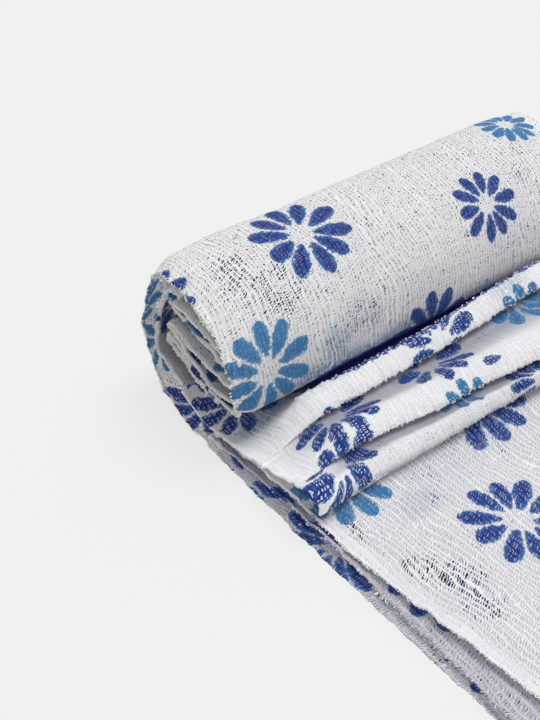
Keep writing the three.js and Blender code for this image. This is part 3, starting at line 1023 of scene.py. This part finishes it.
# %% The printed knit material
WHITE_HIGH = (0.97, 0.965, 0.965, 1)
FLAT_HIGH = (0.9, 0.895, 0.9, 1)
ROLL_HIGH = (0.9, 0.895, 0.897, 1)
FLAT_LOW = (0.6, 0.59, 0.645, 1)
ROLL_LOW = (0.74, 0.735, 0.755, 1)
UNDER_LOW = (0.5, 0.49, 0.55, 1)
WARM_LOW = (0.66, 0.63, 0.61, 1)
CREST_LOW = (0.88, 0.875, 0.89, 1)
# Colours of painted shade, mixed in where the shade map is high
DIM = (0.34, 0.325, 0.4, 1)
DIM_WARM = (0.26, 0.24, 0.235, 1)
# Painted shade of the gap under the cloth, for holes that are not cut
HOLE_SHADE_NAVY = (0.014, 0.025, 0.09, 1)
HOLE_SHADE_GREY = (0.11, 0.11, 0.16, 1)
HOLE_SHADE_ROLL = (0.03, 0.035, 0.11, 1)
HOLE_SHADE_LIGHT = (0.4, 0.395, 0.47, 1)
BAND_INK = (0.05, 0.05, 0.4, 1)
SEEN_THROUGH = (0.07, 0.22, 0.42, 1)
DARK_INK = (0.014, 0.016, 0.19, 1)
DARK_THIN = (0.06, 0.19, 0.46, 1)
LIGHT_INK = (0.035, 0.17, 0.4, 1)
LIGHT_THIN = (0.1, 0.3, 0.53, 1)
LIGHT_THROUGH = 0.3
MARGIN_START, MARGIN_END, MARGIN_CLOSES = 0.1265, 0.1345, -0.7
BUMP_STRENGTH, BUMP_DEPTH = 0.75, 0.36 * MM

# How open the knit is, how much more where the shade map is high, its least
# opening, how far askew the rungs lie, how fine the ladder is, what share of the
# ink is missing between stitches, how far ink closes a hole, how dense the margin
# is, and the colours of the yarn on top, of the yarn below, which stands for
# painted shade in the dips of the knit, of the painted shade, and of the painted
# shade in holes that are not cut, outside and inside the open patches. The
# settings are in part lit and shaded copies: the pleats' whites are brighter,
# partly dense bunched cloth and partly painted light on the crests, the under
# layers' low yarn is darker, painted shade, and inside the roll the painted shade
# is darker and warmer.
Setting = namedtuple("Setting", "open more least skew fine bare closed margin high low dim shallow hollow")
SETTINGS = {
    "printed_knit": Setting(
        0.05, 0.0, 0.28, -0.45, 1.0, 0.45, 0.5, 1.0, FLAT_HIGH, FLAT_LOW, DIM, HOLE_SHADE_LIGHT, HOLE_SHADE_NAVY),
    "printed_knit_under": Setting(
        0.15, 0.0, 0.35, 0.3, 1.0, 0.3, 0.5, 0.0, FLAT_HIGH, UNDER_LOW, DIM, HOLE_SHADE_GREY, HOLE_SHADE_GREY),
    "printed_knit_roll": Setting(
        0.2, 0.0, 0.56, 0.35, 1.4, 0.2, 0.6, 0.6, ROLL_HIGH, ROLL_LOW, DIM, HOLE_SHADE_GREY, HOLE_SHADE_ROLL),
    "printed_knit_inside": Setting(
        0.1, 0.0, 0.5, 0.3, 1.3, 0.3, 0.6, 0.7, FLAT_HIGH, WARM_LOW, DIM_WARM, DIM_WARM, HOLE_SHADE_NAVY),
    "printed_knit_pleats": Setting(
        -0.7, 0.8, 0.1, 0.2, 1.3, 0.6, 0.6, 0.5, WHITE_HIGH, CREST_LOW, DIM, HOLE_SHADE_GREY, HOLE_SHADE_GREY),
}


# In the dark band the cloth is painted solid dark blue: the dark print, and painted shade of the deep gap
def printed_cover(net, flat, chance, cloud):
    """Where ink lies, how deep inside a shape that is, which blue, and how deep in the dark band."""
    blue, petals, _ = net.parts(net.map_of("ink"))
    band = net.parts(net.map_of("lie"))[0]
    petal, petal_inner = net.group(PETALS, net.map_of("flower"), petals, flat, chance)[:2]
    frayed = net.plus(band, net.scaled(cloud, 0.6, -0.33))
    in_band = net.ramp(net.scaled(chance, 0.08, frayed), 0.0, 0.04)
    cover = net.larger(petal, in_band)
    inner = net.larger(petal_inner, net.ramp(band, 0.1, 0.3))
    outside = net.minus(1.0, in_band)
    return cover, inner, net.times(blue, outside), outside, net.ramp(band, 0.15, 0.9)


def ink_colour(net, height, inner, blue, cloud):
    thin = net.scaled(height, -0.5, net.times(cloud, 1.0))
    thin = net.scaled(net.minus(1.0, inner), 0.45, thin, clamp=True)
    return net.mixed(blue, net.mixed(thin, DARK_INK, DARK_THIN), net.mixed(thin, LIGHT_INK, LIGHT_THIN))


# Yarn white, painted darker in the dips of the knit and where the shade map is high, both painted shade,
# and blue where a flower below shows through
def yarn_colour(net, look, height, margin, shade, tint, cloud):
    bright = net.larger(net.ramp(height, 0.05, 0.85), net.times(margin, 0.85))
    white = net.mixed(shade, net.mixed(bright, look.low, look.high), look.dim)
    low = net.scaled(height, -1.0, net.scaled(cloud, 1.6, 0.35), clamp=True)
    return net.mixed(net.times(tint, low), white, SEEN_THROUGH)


def cloth_shader(net, base, height, cloth):
    """Matt yarn with a faint sheen, mixed with the light that comes through it."""
    relief_normal = net.bump(height, BUMP_STRENGTH, BUMP_DEPTH)
    shader = net.add_named("ShaderNodeBsdfPrincipled", {
        "Base Color": base, "Normal": relief_normal, "Alpha": cloth, "Roughness": 0.85,
        "Specular IOR Level": 0.2, "Sheen Weight": 0.06, "Sheen Roughness": 0.5,
    })
    through = net.add_named("ShaderNodeBsdfTranslucent", {"Color": base, "Normal": relief_normal})
    return net.add("ShaderNodeMixShader", net.times(cloth, LIGHT_THROUGH), shader, through)


def knit_material(name):
    look = SETTINGS[name]
    material = bpy.data.materials.new(name)
    material.use_nodes = True
    material.node_tree.nodes.clear()
    net = Wiring(material.node_tree)
    flat = net.map_of("cloth")
    shade = net.parts(net.map_of("lie"))[1]
    patch, tint, _ = net.parts(net.map_of("patches"))
    from_middle = net.maths("ABSOLUTE", net.parts(flat)[0])
    margin = net.times(net.ramp(from_middle, MARGIN_START, MARGIN_END), look.margin)
    opening = net.scaled(margin, MARGIN_CLOSES, net.plus(net.scaled(shade, look.more, look.open), patch))
    height, hole, deep, gap, chance = net.group(KNIT, flat, opening, look.least, look.skew, look.fine)[:5]
    cloud = net.noise(flat, 330, 3.0)
    cover, inner, blue, outside, band = printed_cover(net, flat, chance, cloud)
    colour = ink_colour(net, height, inner, blue, cloud)
    white = yarn_colour(net, look, height, margin, shade, tint, cloud)
    missing = net.times(net.times(gap, net.maths("GREATER_THAN", chance, 0.3)), outside)
    base = net.mixed(net.times(cover, net.scaled(missing, -look.bare, 1.0)), white, colour)
    hole = net.times(hole, net.scaled(cover, -look.closed, 1.0))
    # Holes that are not cut are painted with the hole shade, another one in the open patches
    hollow = net.mixed(net.ramp(patch, 0.25, 0.6), look.shallow, look.hollow)
    base = net.mixed(net.times(hole, deep), base, hollow)
    base = net.mixed(band, base, BAND_INK)
    cloth = net.minus(1.0, net.times(hole, net.minus(1.0, deep)))
    output = net.tree.nodes.new("ShaderNodeOutputMaterial")
    net.fill(output.inputs["Surface"], cloth_shader(net, base, height, cloth))
    print(name, "has", len(net.tree.nodes), "nodes")
    return material


flat_knit, under_knit, roll_knit, inner_knit, crest_knit = (knit_material(name) for name in SETTINGS)
FINISHES = (flat_knit, under_knit, roll_knit, inner_knit, inner_knit, crest_knit)
for piece, material in zip(CLOTH, FINISHES):
    piece.data.materials.append(material)

# %% [markdown]
# The loose loops are bare white nylon. Their yarn is a twist of fine fibres, so
# a stretched noise gives it a slight grain.

# %% The yarn of the loops
def yarn_material():
    material = bpy.data.materials.new("white_yarn")
    material.use_nodes = True
    net = Wiring(material.node_tree)
    grain = net.noise(net.add("ShaderNodeTexCoord", out=3), 1800)
    net.fill_named(net.tree.nodes["Principled BSDF"], {
        "Base Color": net.mixed(grain, CREST_LOW, WHITE_HIGH), "Normal": net.bump(grain, 0.4, 0.1 * MM),
        "Roughness": 0.8, "Specular IOR Level": 0.2,
    })
    return material


yarn_loops.data.materials.append(yarn_material())
print("loops finished in", yarn_loops.data.materials[0].name)

# %% [markdown]
# The plain solid is hidden, and every stretch rides on the one body. Each
# keeps the length it has when it is laid flat.

# %% Tying the cloth to the part
for piece in [*CLOTH, yarn_loops]:
    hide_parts("towel")
    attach(piece, "root")
print("flat lengths:", [round(piece["length"], 3) for piece in CLOTH])

# %% [markdown]
# The floor is a plain pale sheet, much wider than the view, so that no edge of
# it shows behind the towel. It glows evenly, which keeps shadows on it faint and
# lights the towel a little from below.

# %% Floor
FLOOR_SIZE, FLOOR_GREY, FLOOR_GLOW = 8, 0.1, 0.728

bpy.ops.object.select_all(action="DESELECT")
bpy.ops.mesh.primitive_plane_add(size=FLOOR_SIZE, location=(0, 0, 0))
floor = bpy.context.object
floor.name = "floor"
floor_material = bpy.data.materials.new("pale_floor")
floor_material.use_nodes = True
paint = Wiring(floor_material.node_tree)
paint.fill_named(paint.tree.nodes["Principled BSDF"], {
    "Base Color": (FLOOR_GREY, FLOOR_GREY, FLOOR_GREY, 1), "Roughness": 0.9,
    "Emission Color": (1, 1, 1, 1), "Emission Strength": FLOOR_GLOW, "Specular IOR Level": 0.1,
})
floor.data.materials.append(floor_material)
print("floor", FLOOR_SIZE, "m wide")

# %% [markdown]
# Soft light from all round, and one broad light from above on the right, which
# leaves the left end of the roll and the fronts of the pleats in soft shade.

# %% Light
ROOM_LIGHT = 0.68
KEY_LIGHT, KEY_ANGLE, KEY_TILT, KEY_ASIDE = 2.4, 35, 7, 15
LAYERS_SEEN_THROUGH = 24

scene = bpy.context.scene
world = bpy.data.worlds.new("soft_room")
world.use_nodes = True
background = world.node_tree.nodes["Background"]
background.inputs["Color"].default_value = (1, 1, 1, 1)
background.inputs["Strength"].default_value = ROOM_LIGHT
scene.world = world
bpy.ops.object.light_add(type="SUN", rotation=(math.radians(KEY_TILT), math.radians(KEY_ASIDE), 0))
key = bpy.context.object
key.name = "broad_light"
key.data.energy = KEY_LIGHT
key.data.angle = math.radians(KEY_ANGLE)
scene.view_settings.view_transform = "Standard"
scene.view_settings.look = "None"
scene.cycles.transparent_max_bounces = LAYERS_SEEN_THROUGH
print("key light", KEY_LIGHT, "room light", ROOM_LIGHT)

# %% [markdown]
